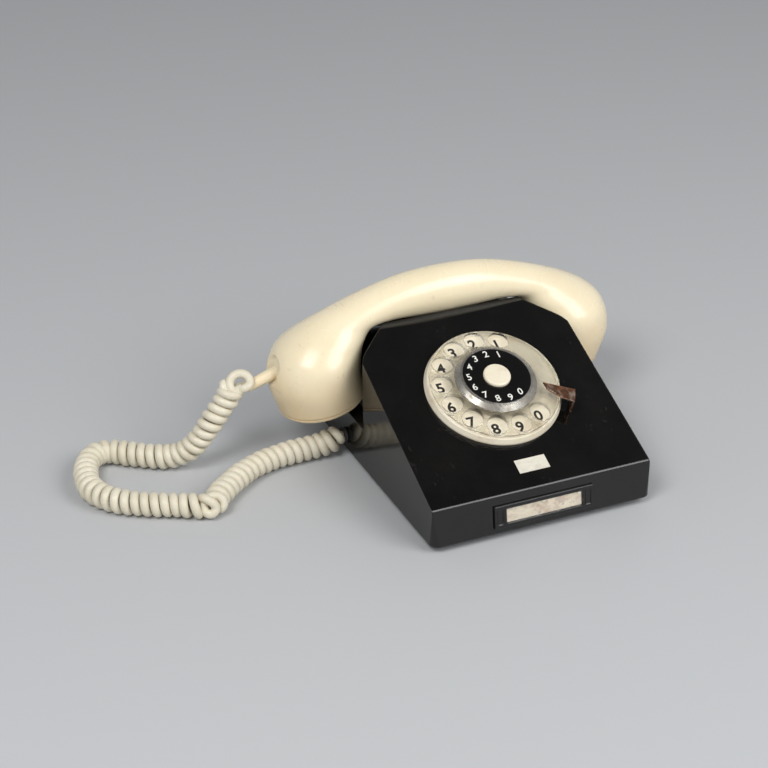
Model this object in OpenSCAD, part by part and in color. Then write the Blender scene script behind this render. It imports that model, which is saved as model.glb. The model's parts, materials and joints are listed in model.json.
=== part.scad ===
// Desk telephone with a dial: black shell, ivory handset, curly cord.
// Millimetres. X to the right, Y to the back, Z up. The origin is on the table, under the middle.

/* [Body] */
// Width of the shell at its bottom edge
body_w = 134; // [125:1:170]
// Depth of the shell at its bottom edge
body_d = 166; // [160:1:200]
// Wall of the shell
wall = 2.6; // [2:0.1:3.2]
// Height of the shell's bottom edge above the table
foot_h = 4.6; // [3.6:0.1:8]
// Height of the front face
front_h = 21.9; // [20:0.1:28]
// How far the front face leans back
front_lean = 2.6; // [1:0.1:5]
// Slope of the deck
deck_angle = 23.5; // [20:0.5:26]
// Length of the deck's straight sides, up the slope
deck_side = 107; // [105:1:112]
// Length of the whole deck, up the slope
deck_len = 129.5; // [126:0.5:134]
// Length of the deck's back edge
deck_top_w = 85; // [78:1:90]
// How far each side leans in, in degrees
side_draft = 2.1; // [0:0.1:2.5]
// Height of the shelves under the handset's ends
shelf_z = 28.6; // [27:0.2:28.8]
// Height of the back wall beside the tower
wing_z = 52; // [40:1:60]

/* [Dial] */
// Distance of the dial's centre up the deck
dial_s = 68.5; // [64:0.5:70]
// Outer radius of the number ring
ring_r = 39.1; // [38:0.1:42]
// Outer radius of the finger wheel
wheel_r = 37.4; // [36.6:0.1:37.4]
// Radius of a finger hole
finger_r = 5.9; // [5:0.1:6.2]
// Radius of the circle of finger holes
finger_pcd_r = 30.5; // [30:0.1:30.6]
// Direction of the first finger hole, from the right
first_hole = 62.5; // [60:0.5:75]
// Angle between finger holes
hole_step = 26.6; // [24:0.1:26.6]
// Radius of the black number disc
disc_r = 19.3; // [17:0.1:19.5]
// Radius of the middle cap
cap_r = 7.8; // [6:0.1:10]
// Radius of the dial's shaft
shaft_r = 3; // [2:0.1:3.4]

/* [Handset] */
// How far the handset reaches past the shell on each side
handset_reach = 40; // [38:0.5:44]
// Distance of the handset's middle behind the front edge
handset_y = 133; // [132:0.5:134]
// Height of the grip's underside in the middle
grip_under_z = 72.8; // [72:0.2:78]
// Thickness of the grip from top to bottom
grip_h = 28.2; // [24:0.2:32]
// Half the width of the grip
grip_half_w = 13.4; // [11:0.1:14]
// Half the width of the ends
bell_half_w = 27.6; // [24:0.2:27.6]
// Wall of the handset
handset_wall = 2.6; // [2:0.1:3.2]

/* [Cord] */
// Outer diameter of the curly part
coil_d = 14.4; // [10:0.2:14.6]
// Diameter of the cord itself
cord_d = 5.2; // [4:0.1:5.6]

/* [Inside] */
// Thickness of the base plate
plate_t = 2; // [1.5:0.1:3]
// Radius of a gong
gong_r = 20; // [15:0.5:21]
// Height of a gong
gong_h = 9; // [6:0.5:10]

/* [Hidden] */
fit = 0.05;
clear = 0.4;
$fn = 72;

function unit(v) = v / norm(v);
function turn(a) = a > 180 ? a - 360 : a < -180 ? a + 360 : a;
// One corner of an outline, as the points of an arc of radius r.
function corner(a, b, c, r, n = 8) =
    let (u = unit(a - b), v = unit(c - b), half = acos(u * v) / 2,
         centre = b + unit(u + v) * r / sin(half),
         from = b + u * r / tan(half) - centre, to = b + v * r / tan(half) - centre,
         a0 = atan2(from[1], from[0]), sweep = turn(atan2(to[1], to[0]) - a0))
    [for (k = [0:n]) centre + r * [cos(a0 + sweep * k / n), sin(a0 + sweep * k / n)]];
// An outline given as [x, y, corner radius] points.
function rounded(p, n = 8) = let (m = len(p), xy = [for (q = p) [q[0], q[1]]])
    [for (i = [0:m - 1]) each p[i][2] > 0
        ? corner(xy[(i + m - 1) % m], xy[i], xy[(i + 1) % m], p[i][2], n) : [xy[i]]];
// A smooth curve through points: its place at t, where whole numbers are the points.
function spline(p, t) =
    let (m = len(p), i = min(m - 2, floor(t)), f = t - i,
         b = p[i], c = p[i + 1],
         a = i > 0 ? p[i - 1] : 2 * b - c, d = i < m - 2 ? p[i + 2] : 2 * c - b)
    0.5 * (2 * b + (c - a) * f + (2 * a - 5 * b + 4 * c - d) * f * f
        + (3 * b - a - 3 * c + d) * f * f * f);
function quads(rings, sides) = concat(
    [for (i = [0:rings - 2], j = [0:sides - 1])
        let (k = (j + 1) % sides)
        each [[i * sides + j, i * sides + k, (i + 1) * sides + k],
              [i * sides + j, (i + 1) * sides + k, (i + 1) * sides + j]]],
    [[for (j = [sides - 1:-1:0]) j]],
    [[for (j = [0:sides - 1]) (rings - 1) * sides + j]]);
// A closed tube along points, with its rings square to the path.
module tube(p, r, sides) {
    m = len(p);
    points = [for (i = [0:m - 1])
        let (t = unit(p[min(i + 1, m - 1)] - p[max(i - 1, 0)]),
             u = unit(cross([0, 0, 1], t)), v = cross(t, u))
        for (j = [0:sides - 1]) p[i] + r * (cos(360 * j / sides) * u + sin(360 * j / sides) * v)];
    polyhedron(points, [for (f = quads(m, sides)) [for (k = [len(f) - 1:-1:0]) f[k]]], convexity = 8);
}

// Places worked out from the sizes above. Y is measured from the front edge until shift() is used.
plate_z = foot_h + 0.6;
floor_z = plate_z + plate_t;
plate_half = body_w / 2 - wall - 0.5;
plate_front = wall + clear + front_lean * (floor_z - foot_h) / front_h;
front_top = [front_lean, foot_h + front_h];
lean_angle = atan(front_lean / front_h);
function deck_point(s) = front_top + s * [cos(deck_angle), sin(deck_angle)];
side_end = deck_point(deck_side);
deck_end = deck_point(deck_len);
function half_width(z) = body_w / 2 - (z - foot_h) * tan(side_draft);
grip_z = grip_under_z + grip_h / 2;
tower_half = deck_top_w / 2;
bay_back = body_d - wall - 1.4;
trough_r = grip_h / 2 + 1.2;
trough_z = grip_under_z - clear + trough_r;
lip_z = deck_end[1];
back_lip_y = handset_y + 22;
function front_y(z) = front_lean * (z - foot_h) / front_h;
// The bay's front edge runs from the deck's back corner to the side wall at shelf height.
chamfer_angle = atan2(deck_end[0] - side_end[0], half_width(side_end[1]) - tower_half);
bay_edge = [half_width(shelf_z) + 0.2,
    deck_end[0] - (half_width(shelf_z) + 0.2 - tower_half) * tan(chamfer_angle)];
boss_xy = [[52, 16], [52, body_d - 13]];
handset_half = body_w / 2 + handset_reach;
bell_x = handset_half - 31.5;
cap_r_out = 26;
cap_tilt = 12.2;
cap_rim = 0.6;
cap_h = 6.4;
capsule_r = 19;
cap_centre = [bell_x, 33.5];
hook_x = 24;
plunger_r = 4;
bar_z = 43;
bar_t = 2.9;
lever_yz = [handset_y + 13, bar_z - 2.5];
sleeve_out = [-handset_half + 1, 53.5];
sleeve_angle = 19;
sleeve_len = 16;
coil_rings = 48;
cord_sides = 10;
gland_yz = [handset_y - 14, 12];
gland_r = 4.2;
line_gland_x = -36;

// The curly cord's middle line, from the handset down to the table and round to the shell. It is
// drawn for one place of the sleeve and one of the shell's side, and each end moves with its own.
drawn_sleeve_x = -106;
drawn_side_x = -67;
drawn_y = 50;
cord_y = handset_y - body_d / 2 - drawn_y;
at_sleeve = [sleeve_out[0] - drawn_sleeve_x, cord_y, 0];
at_side = [-body_w / 2 - drawn_side_x, cord_y, 0];
hanging_points = 7;
drawn_route = [
    [-125.5, 50, 52], [-129.5, 50, 51.8], [-133.5, 50, 45.5], [-138, 50, 38.5], [-143.5, 50, 30],
    [-149, 51.5, 21.5], [-155.5, 54.5, 13.5], [-164, 60, 8.4], [-174, 66, 7.4], [-185, 74, 7.4],
    [-195, 81, 7.4], [-203, 80.5, 7.4], [-210, 73, 7.4], [-214.5, 61, 7.4], [-216, 47, 7.4],
    [-212, 35, 7.4], [-204, 25.5, 7.4], [-192, 17.5, 7.4], [-178, 10.5, 7.4], [-168, 5.5, 7.4],
    [-160, 6.5, 7.4], [-151, 13, 7.4], [-141, 21.5, 7.4], [-130, 29, 7.4], [-119, 34, 7.4],
    [-106, 37, 7.4], [-92, 38, 7.4], [-82, 37.5, 8.2], [-74, 36.2, 10.8]];
coil_route = [for (i = [0:len(drawn_route) - 1])
    drawn_route[i] + at_side + (at_sleeve - at_side) * max(0, 1 - i / hanging_points)];
drawn_tail = [[-120.7, 50, 48.4], [-121.8, 50, 48.7], [-123.3, 50, 51.8], [-124.7, 50, 52]];
tail_route = [for (p = drawn_tail) p + at_sleeve];
drawn_shell_tail = [[-73.8, 36.2, 10.9], [-71, 36, 11.8], [-69, 36, 12], [-60, 36, 12]];
shell_tail_route = [for (p = drawn_shell_tail) p + at_side];

module shift() translate([0, -body_d / 2, 0]) children();
module on_deck()
    translate([0, front_top[0] + dial_s * cos(deck_angle), front_top[1] + dial_s * sin(deck_angle)])
    rotate([deck_angle, 0, 0]) children();
module on_front() translate([0, 0, foot_h]) rotate([-lean_angle, 0, 0]) children();
module both_sides() { children(); mirror([1, 0, 0]) children(); }
module ring(r_in, r_out, h0, h1) translate([0, 0, h0]) difference() {
    cylinder(r = r_out, h = h1 - h0);
    translate([0, 0, -1]) cylinder(r = r_in, h = h1 - h0 + 2);
}

// The shell without its bays: side outline met with the front outline, both moved in by t.
module shell_block(t) {
    low = t > 0 ? -5 : foot_h;
    side = [[front_y(low) + t, low, 0],
        [front_top[0] + t, front_top[1] - t * tan(45 - lean_angle / 2 - deck_angle / 2), t > 0 ? 0.5 : 2.2],
        [deck_end[0], deck_end[1] - t / cos(deck_angle), t > 0 ? 0 : 1.2],
        [back_lip_y - t * 0.4, lip_z - t, 8],
        [body_d - 1.6 - t, wing_z + 6 - t * 0.4, 8], [body_d - t, low, 0]];
    intersection() {
        rotate([90, 0, 90]) linear_extrude(body_w + 20, center = true) polygon(rounded(side));
        translate([0, body_d + 10, 0]) rotate([90, 0, 0]) linear_extrude(body_d + 20)
            polygon([[-half_width(low) + t, low], [half_width(low) - t, low],
                [half_width(100) - t, 100], [-half_width(100) + t, 100]]);
        translate([0, 0, low - 1]) linear_extrude(120) polygon(rounded([
            [-body_w / 2 + t, t, 5], [body_w / 2 - t, t, 5],
            [body_w / 2 - t, body_d - t, 9], [-body_w / 2 + t, body_d - t, 9]]));
    }
}
// The space of one handset end, right side; t makes it larger, for the wall round it.
module bay(t) {
    in_y = t * tan(45 - chamfer_angle / 2);
    translate([0, 0, shelf_z - t]) linear_extrude(100) polygon(rounded([
        [tower_half - t, deck_end[0] - in_y, t > 0 ? 4 : 7], [bay_edge[0] - t, bay_edge[1] - in_y, 20],
        [bay_edge[0] - t, bay_edge[1] - in_y - 9, 0], [body_w, bay_edge[1] - in_y - 9, 0],
        [body_w, bay_back + t, 0], [tower_half - t, bay_back + t, 5]]));
    if (t == 0) translate([tower_half, bay_back - 1, wing_z]) cube([body_w, body_d, 100]);
}
module trough(r) translate([0, handset_y, trough_z]) rotate([0, 90, 0])
    cylinder(r = r, h = body_w + 4, center = true);
module boss(p, top) translate([p[0], p[1], floor_z]) difference() {
    cylinder(d = 8, h = top - floor_z);
    translate([0, 0, -1]) cylinder(r = 1.5, h = 13);
}
module housing() color("#141416") shift() difference() {
    union() {
        difference() {
            shell_block(0);
            difference() {
                shell_block(wall);
                both_sides() bay(wall);
                trough(trough_r + wall);
            }
            both_sides() bay(0);
            trough(trough_r);
        }
        both_sides() intersection() {
            union() {
                boss(boss_xy[0], 60);
                boss(boss_xy[1], shelf_z - 1);
            }
            shell_block(wall / 2);
        }
    }
    on_deck() translate([0, 0, -8]) cylinder(r = ring_r - 4.4, h = 16);
    translate([0, gland_yz[0], gland_yz[1]]) rotate([0, -90, 0]) cylinder(r = gland_r, h = body_w);
    translate([line_gland_x, body_d - 20, gland_yz[1]]) rotate([-90, 0, 0]) cylinder(r = gland_r, h = 40);
    both_sides() translate([hook_x, handset_y, 40]) cylinder(r = plunger_r + fit, h = 60);
}
module base_plate() color("#2a2a2c") shift() difference() {
    translate([0, 0, plate_z]) linear_extrude(plate_t) polygon(rounded([
        [-plate_half, plate_front, 4], [plate_half, plate_front, 4],
        [plate_half, body_d - wall - 0.9, 7], [-plate_half, body_d - wall - 0.9, 7]]));
    both_sides() for (p = boss_xy) translate([p[0], p[1], 0]) cylinder(r = 1.6, h = 20);
    for (x = [-30:10:30]) translate([x - 2, body_d - 52, 0]) cube([4, 24, 20]);
}
module rubber_feet() color("#3a3a3a") shift() both_sides() for (p = boss_xy)
    translate([p[0], p[1], 0]) ring(3.6, 7, 0, plate_z);
module base_screws() color("silver") shift() both_sides() for (p = boss_xy) translate([p[0], p[1], 0]) {
    difference() {
        translate([0, 0, plate_z - 2.2]) cylinder(r = 3, h = 2.2);
        translate([-3, -0.4, 0]) cube([6, 0.8, plate_z - 1.4]);
    }
    translate([0, 0, plate_z]) cylinder(r = 1.45, h = 12);
}

/* Label holder on the front face */
label_w = 46;
label_h = 8.4;
label_z = 9.6;
module label_frame() color("#18181a") shift() on_front() difference() {
    translate([-30.2, -1.4, label_z - 6.8]) cube([60.4, 1.4, 13.6]);
    translate([-label_w / 2, -3, label_z - label_h / 2]) cube([label_w, 6, label_h]);
    both_sides() translate([label_w / 2 + 2, -1.9, label_z - 4.4]) cube([3.4, 0.9, 8.8]);
}
module label_card() color("#d9cdb8") shift() on_front()
    translate([-label_w / 2 + 0.2, -0.5, label_z - label_h / 2 + 0.3])
        cube([label_w - 0.4, 0.45, label_h - 0.6]);
module label_window() color([0.9, 0.9, 0.85, 0.4]) shift() on_front()
    translate([-label_w / 2 + 0.1, -1.2, label_z - label_h / 2 + 0.1])
        cube([label_w - 0.2, 0.6, label_h - 0.2]);
module deck_sticker() color("#e8e2d0") shift() on_deck()
    translate([-9.2, -58, 0.02]) cube([18.4, 8.8, 0.25]);

/* Dial: heights above the deck */
plate_top = 3;
wheel_low = 5.6;
hub_low = 8.62;
disc_top = 12;
pinion_xy = [0, -14.6];
governor_xy = [22.4, -14.6];
lower_plate = -23.6;
upper_plate = -6;
gear_h = -14;
module number_ring() color("#e6e0cc") shift() on_deck() rotate_extrude() polygon([
    [8, 1.2], [ring_r - 6.4, 1.2], [ring_r - 6.4, -3.4], [ring_r - 4.6, -3.4], [ring_r - 4.6, 0.03],
    [ring_r, 0.03], [ring_r, 0.9], [ring_r - 1.1, 3.5], [ring_r - 1.7, 4], [ring_r - 2.4, 3.9],
    [ring_r - 3, plate_top], [8, plate_top]]);
module finger_wheel() color([0.93, 0.88, 0.7, 0.5]) shift() on_deck() difference() {
    rotate_extrude() polygon([
        [disc_r - 6, wheel_low], [wheel_r - 13, wheel_low], [wheel_r - 0.6, 4.9], [wheel_r, 5.3],
        [wheel_r, 6.3], [wheel_r - 0.5, 6.8], [wheel_r - 13, wheel_low + 3], [disc_r - 6, wheel_low + 3]]);
    for (k = [0:9]) rotate(first_hole + k * hole_step) translate([finger_pcd_r, 0, 0])
        cylinder(r = finger_r, h = 20);
}
module hub_ring() color("#b9b4a6") shift() on_deck() rotate_extrude() polygon([
    [disc_r + fit, hub_low], [wheel_r - 14, hub_low], [wheel_r - 14.1, hub_low + 1],
    [disc_r + 1.4, disc_top - 0.3], [disc_r + fit, disc_top + 0.1]]);
module number_disc() color("#101012") shift() on_deck() ring(shaft_r + fit, disc_r, hub_low, disc_top);
module centre_cap() color("#e6e0cc") shift() on_deck() rotate_extrude() polygon(concat(
    [[0, disc_top + 0.02], [cap_r, disc_top + 0.02]],
    [for (a = [0:15:90]) [cap_r - 1.2 + 1.2 * cos(a), disc_top + 0.6 + 1.2 * sin(a)]],
    [[0, disc_top + 1.9]]));
stop_arm = [[24.6, -9.6], [39.6, -18.6], [35.6, -26.6], [30.4, -22], [25, -14.4]];
stop_foot = [[40.5, -19.1], [36.5, -27.1], [35.6, -26.6], [39.6, -18.6]];
stop_h = 9.6;
stop_t = 1.2;
module finger_stop() color("#6f4a34") shift() on_deck() {
    translate([0, 0, stop_h]) linear_extrude(stop_t) polygon(stop_arm);
    translate([0, 0, fit]) linear_extrude(stop_h + stop_t - fit) polygon(stop_foot);
}
module dial_frame() color("#8f8a7c") shift() on_deck() {
    difference() {
        translate([0, 0, upper_plate]) cylinder(r = ring_r - 4.8, h = 1.6);
        translate([0, 0, -9]) cylinder(r = shaft_r + fit, h = 9);
        for (c = [pinion_xy, governor_xy]) translate([c[0], c[1], -9]) cylinder(r = 1.05, h = 9);
    }
    for (a = [90, 210, 330]) rotate(a) translate([30, 0, -4.4]) cylinder(r = 2, h = 5.6);
    difference() {
        union() {
            for (a = [140, 250, 20]) rotate(a) translate([28, 0, -22]) cylinder(r = 2, h = 16);
            translate([0, 0, lower_plate]) cylinder(r = 31, h = 1.6);
        }
        translate([0, 0, -25]) cylinder(r = shaft_r + fit, h = 6);
        for (c = [pinion_xy, governor_xy]) translate([c[0], c[1], -25]) cylinder(r = 1.05, h = 9);
    }
}
module dial_shaft() color("#b08d4a") shift() on_deck()
    translate([0, 0, -25.4]) cylinder(r = shaft_r, h = 37.3);
module gear(r, n, h) {
    cylinder(r = r - 0.55, h = h);
    for (k = [0:n - 1]) rotate(k * 360 / n) translate([r - 0.8, -0.35, 0]) cube([1.3, 0.7, h]);
}
module main_gear() color("#b08d4a") shift() on_deck() translate([0, 0, gear_h]) difference() {
    gear(10.8, 36, 1.6);
    translate([0, 0, -1]) cylinder(r = shaft_r + fit, h = 4);
}
module return_spring() color("#4c5561") shift() on_deck()
    for (k = [0:3]) ring(4 + k * 1.7, 4.5 + k * 1.7, -11.4, -6.6);
module pulse_wheel() color("#9b6b3c") shift() on_deck() translate([pinion_xy[0], pinion_xy[1], 0]) {
    translate([0, 0, -24.4]) cylinder(r = 1, h = 19.8);
    translate([0, 0, gear_h]) rotate(18) gear(2.8, 10, 1.6);
    translate([0, 0, -19]) difference() {
        cylinder(r = 9.4, h = 2);
        for (k = [0:2]) rotate(k * 120 + 40) translate([9.8, 0, -1]) cylinder(r = 2, h = 4);
    }
}
module governor() color("#a98f55") shift() on_deck() translate([governor_xy[0], governor_xy[1], 0]) {
    translate([0, 0, -24.4]) cylinder(r = 1, h = 19.8);
    translate([0, 0, -18.6]) cylinder(r = 2.2, h = 9);
    for (k = [0, 180]) rotate(k) translate([0.8, -1.5, -9.4]) cube([4, 3, 1.6]);
}
module governor_cup() color("#8f8a7c") shift() on_deck()
    translate([governor_xy[0], governor_xy[1], 0]) ring(5.6, 6.6, -10, -6.02);
module pulse_contacts() color("#c9a24e") shift() on_deck() for (k = [0:2])
    translate([-22 + k * 1.6, -22, -21.9]) cube([0.5, 14, 8]);

/* Electrics on the base plate */
module circuit_board() color("#7a5a2e") shift() translate([-50, 26, floor_z + 3]) cube([100, 34, 1.6]);
module board_posts() color("silver") shift() for (x = [-45, 45], y = [30, 56])
    translate([x, y, floor_z]) cylinder(r = 2, h = 3);
module speech_transformer() color("#8a3b2a") shift() translate([-38, 34, floor_z + 4.6]) {
    cube([22, 18, 4]);
    translate([3, 3, 4]) cube([16, 12, 6]);
}
module capacitor() color("#c8b98a") shift()
    translate([14, 43, floor_z + 4.6 + 5]) rotate([0, 90, 0]) cylinder(r = 5, h = 26);
module terminal_block() color("#3b2a20") shift() translate([-58, 98, floor_z]) difference() {
    cube([12, 34, 9]);
    for (k = [0:3]) translate([6, 5 + 8 * k, 4]) cylinder(r = 1.6, h = 9);
}
module terminal_screws() color("silver") shift() for (k = [0:3])
    translate([-52, 103 + 8 * k, floor_z + 4]) cylinder(r = 1.55, h = 4);

/* Ringer */
gong_x = 23;
gong_y = body_d - 36;
gong_z = floor_z + 8;
module ringer_frame() color("#8f8a7c") shift() {
    translate([-34, gong_y - 3, floor_z]) cube([68, 6, 1.6]);
    translate([-12, gong_y - 44, floor_z]) cube([24, 41, 1.6]);
    for (x = [-gong_x, gong_x]) translate([x, gong_y, floor_z + 1.6]) cylinder(r = 3, h = 6.4);
}
module gong(x) shift() translate([x, gong_y, gong_z]) rotate_extrude() polygon([
    [2.1, gong_h - 1.6], [2.1, gong_h], [gong_r - 4, gong_h], [gong_r - 1, gong_h - 2], [gong_r, 0], [gong_r - 1.5, 0],
    [gong_r - 2.4, gong_h - 2.8], [gong_r - 4.6, gong_h - 1.6]]);
module gong_left() color("#b9a24a") gong(-gong_x);
module gong_right() color("#b9a24a") gong(gong_x);
module gong_screws() color("silver") shift()
    for (x = [-gong_x, gong_x]) translate([x, gong_y, gong_z]) {
    cylinder(r = 2, h = gong_h);
    translate([0, 0, gong_h + 0.02]) cylinder(r = 3.6, h = 1.6);
}
module ringer_coils() color("#7e2f22") shift() for (x = [-6.4, 6.4])
    translate([x, gong_y - 42, floor_z + 8]) rotate([-90, 0, 0]) cylinder(r = 5.6, h = 16);
module ringer_core() color("#77736a") shift()
    translate([-12, gong_y - 44, floor_z + 1.62]) cube([24, 1.9, 13]);
clapper_pivot = [0, gong_y - 21];
module clapper_pin() color("silver") shift()
    translate([clapper_pivot[0], clapper_pivot[1], floor_z + 1.62]) cylinder(r = 1.2, h = 14);
module clapper() color("#a5a29a") shift()
    translate([clapper_pivot[0], clapper_pivot[1], floor_z + 9]) difference() {
    union() {
        translate([-9, -3, 0]) cube([18, 4.4, 2]);
        translate([-0.7, 1, 0.2]) cube([1.4, 15.6, 1.4]);
        translate([0, 17.6, 0]) cylinder(r = 1.7, h = 4.4);
    }
    translate([0, 0, -1]) cylinder(r = 1.2 + fit, h = 4);
}

/* Hook switch under the handset's trough */
module plunger(x) shift() translate([x, handset_y, 0]) difference() {
    translate([0, 0, bar_z + 1]) cylinder(r = plunger_r, h = grip_under_z - clear - 0.4 - bar_z - 1);
    translate([-5, -bar_t / 2 - fit, bar_z - 4]) cube([10, bar_t + 2 * fit, 9.02]);
}
module plunger_left() color("#1c1c1e") plunger(-hook_x);
module plunger_right() color("#1c1c1e") plunger(hook_x);
module plunger_bar() color("#9c978a") shift()
    translate([-hook_x - 3, handset_y - bar_t / 2, bar_z]) cube([2 * hook_x + 6, bar_t, 5]);
module hook_bracket() color("#8f8a7c") shift() difference() {
    union() {
        translate([-13, body_d - 14, floor_z]) cube([26, 1.6, bar_z + 3 - floor_z]);
        translate([-13, body_d - 20, floor_z]) cube([26, 6, 1.6]);
        both_sides() translate([11.4, lever_yz[0] - 4, bar_z - 7]) cube([1.6, body_d - 14 - lever_yz[0] + 4.4, 10]);
    }
    translate([0, lever_yz[0], lever_yz[1]]) rotate([0, 90, 0]) cylinder(r = 1.5, h = 60, center = true);
}
module hook_pin() color("silver") shift() translate([0, lever_yz[0], lever_yz[1]]) rotate([0, 90, 0])
    cylinder(r = 1.5 - fit, h = 29, center = true);
module hook_lever() color("#b7b2a4") shift() translate([0, lever_yz[0], lever_yz[1]]) difference() {
    union() {
        rotate([0, 90, 0]) cylinder(r = 2.8, h = 22, center = true);
        translate([-8, handset_y - lever_yz[0] - 2, 0]) cube([16, lever_yz[0] - handset_y + 2, 2]);
    }
    rotate([0, 90, 0]) cylinder(r = 1.5, h = 30, center = true);
}

/* Handset */
// One side of each rail; the upper points spread with the handset's length, the ends keep their shape.
function spread(x) = x * handset_half / 107;
outer_side = [[handset_half - 6, 28], [handset_half, 47], [handset_half - 3, 62.5],
    [handset_half - 11.5, 72.5], [spread(79), 82], [spread(53.5), 92], [spread(27), 99]];
inner_side = [[bell_x - 25.5, 39], [bell_x - 23, 48], [bell_x - 22.5, 58], [bell_x - 25, 67.5],
    [bell_x - 31.5, 74.4], [spread(32), 75], [spread(15), 73.4]];
function rail(side, middle_z) = concat([for (p = side) [-p[0], p[1]]], [[0, middle_z]],
    [for (i = [len(side) - 1:-1:0]) side[i]]);
outer_rail = rail(outer_side, grip_under_z + grip_h);
inner_rail = rail(inner_side, grip_under_z);
half_widths = [cap_r_out, bell_half_w, bell_half_w - 0.6, 21.5, 15.2, 13.4, grip_half_w, grip_half_w,
    grip_half_w, 13.4, 15.2, 21.5, bell_half_w - 0.6, bell_half_w, cap_r_out];
handset_rings = 50;
handset_sides = 28;
// The handset's body: oval sections hung between an upper and a lower rail, made smaller by t.
module handset_body(t) {
    points = [for (i = [0:handset_rings - 1])
        let (u = (t > 0 ? -0.2 : 0) + 14 * i / (handset_rings - 1) * (t > 0 ? 1.0286 : 1),
             s = max(0, min(14, u)), o = spline(outer_rail, s), n = spline(inner_rail, s),
             mid = (o + n) / 2, half = (o - n) / 2, in = unit(half) * (norm(half) - t),
             push = (u - s) * 22 * [0, 1] * (u < 0 ? 1 : -1),
             w = spline(half_widths, s) - t)
        for (j = [0:handset_sides - 1]) let (a = 360 * j / handset_sides)
            [mid[0] + in[0] * cos(a) + push[0], w * sin(a) + handset_y, mid[1] + in[1] * cos(a) + push[1]]];
    polyhedron(points, quads(handset_rings, handset_sides), convexity = 8);
}
module at_cap(side) translate([side * cap_centre[0], handset_y, cap_centre[1]])
    rotate([0, side * cap_tilt + 180, 0]) children();
module sleeve_place() translate([sleeve_out[0], handset_y, sleeve_out[1]])
    rotate([0, -90 - sleeve_angle, 0]) children();
module handset_shell() color("#e3d9b8") shift() difference() {
    handset_body(0);
    handset_body(handset_wall);
    sleeve_place() translate([0, 0, -12]) cylinder(r = 3.6, h = 30);
}
module ear_or_mouth_cap(side, holes) shift() at_cap(side) difference() {
    rotate_extrude() polygon(concat(
        [[0, 3.8], [cap_r_out - 6, 3.2], [cap_r_out - 2.4, 0.6],
         [cap_r_out - 2.4, 0.06], [cap_r_out, 0.06]],
        [for (a = [0:7.5:82.5]) [cap_r_out * cos(a), cap_rim + (cap_h - cap_rim) * sin(a)]], [[0, cap_h]]));
    for (k = [0:holes - 1]) rotate(k * 360 / holes) translate([9, 0, 0]) cylinder(r = 1.3, h = 12);
    cylinder(r = 1.3, h = 12);
}
module mouth_cap() color("#e3d9b8") ear_or_mouth_cap(-1, 6);
module ear_cap() color("#e3d9b8") ear_or_mouth_cap(1, 8);
module microphone() color("#9a9a98") shift() at_cap(-1)
    translate([0, 0, -13]) cylinder(r = capsule_r, h = 12.5);
module receiver() color("#8b7f6a") shift() at_cap(1)
    translate([0, 0, -15]) cylinder(r = capsule_r, h = 14.5);
module cord_sleeve() color("#e3d9b8") shift() sleeve_place() difference() {
    translate([0, 0, -2]) rotate_extrude()
        polygon([[0, -2], [3.5, -2], [3.5, 5], [3.1, sleeve_len + 1.4], [0, sleeve_len + 1.4]]);
    translate([0, 0, -6]) cylinder(r = cord_d / 2 - 0.5, h = 14);
}

/* Cord */
module cord_grommet() color("#202022") shift()
    translate([-half_width(gland_yz[1]), gland_yz[0], gland_yz[1]]) rotate([0, -90, 0]) {
    difference() {
        union() {
            translate([0, 0, 0.3]) cylinder(r = 4.7, h = 1.6);
            translate([0, 0, -4]) cylinder(r = gland_r - fit, h = 5);
        }
        translate([0, 0, -6]) cylinder(r = cord_d / 2 + fit, h = 12);
    }
}
module line_gland() color("#202022") shift()
    translate([line_gland_x, body_d, gland_yz[1]]) rotate([-90, 0, 0]) difference() {
    translate([0, 0, -5]) cylinder(r = gland_r - fit, h = 4.8);
    translate([0, 0, -6]) cylinder(r = 2.4, h = 12);
}
module cord_coil() color("#ece4cc") tube([for (i = [0:coil_rings])
    spline(coil_route, i * (len(coil_route) - 1) / coil_rings)], coil_d / 2, cord_sides);
module cord_tail_handset() color("#ece4cc")
    tube([for (i = [0:6]) spline(tail_route, i / 2)], cord_d / 2, cord_sides);
module cord_tail_base() color("#ece4cc") tube(shell_tail_route, cord_d / 2, cord_sides);

housing();
base_plate();
rubber_feet();
base_screws();
label_frame();
label_card();
label_window();
deck_sticker();
number_ring();
finger_stop();
dial_frame();
finger_wheel();
hub_ring();
number_disc();
centre_cap();
dial_shaft();
main_gear();
return_spring();
pulse_wheel();
governor();
governor_cup();
pulse_contacts();
circuit_board();
board_posts();
speech_transformer();
capacitor();
terminal_block();
terminal_screws();
ringer_frame();
gong_left();
gong_right();
gong_screws();
ringer_coils();
ringer_core();
clapper_pin();
clapper();
plunger_left();
plunger_right();
plunger_bar();
hook_bracket();
hook_pin();
hook_lever();
handset_shell();
mouth_cap();
ear_cap();
microphone();
receiver();
cord_sleeve();
cord_grommet();
line_gland();
cord_coil();
cord_tail_handset();
cord_tail_base();
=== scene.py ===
import json
from math import cos, pi, radians, sin

import bmesh
import bpy
import numpy as np
from mathutils import Matrix, Vector

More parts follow.
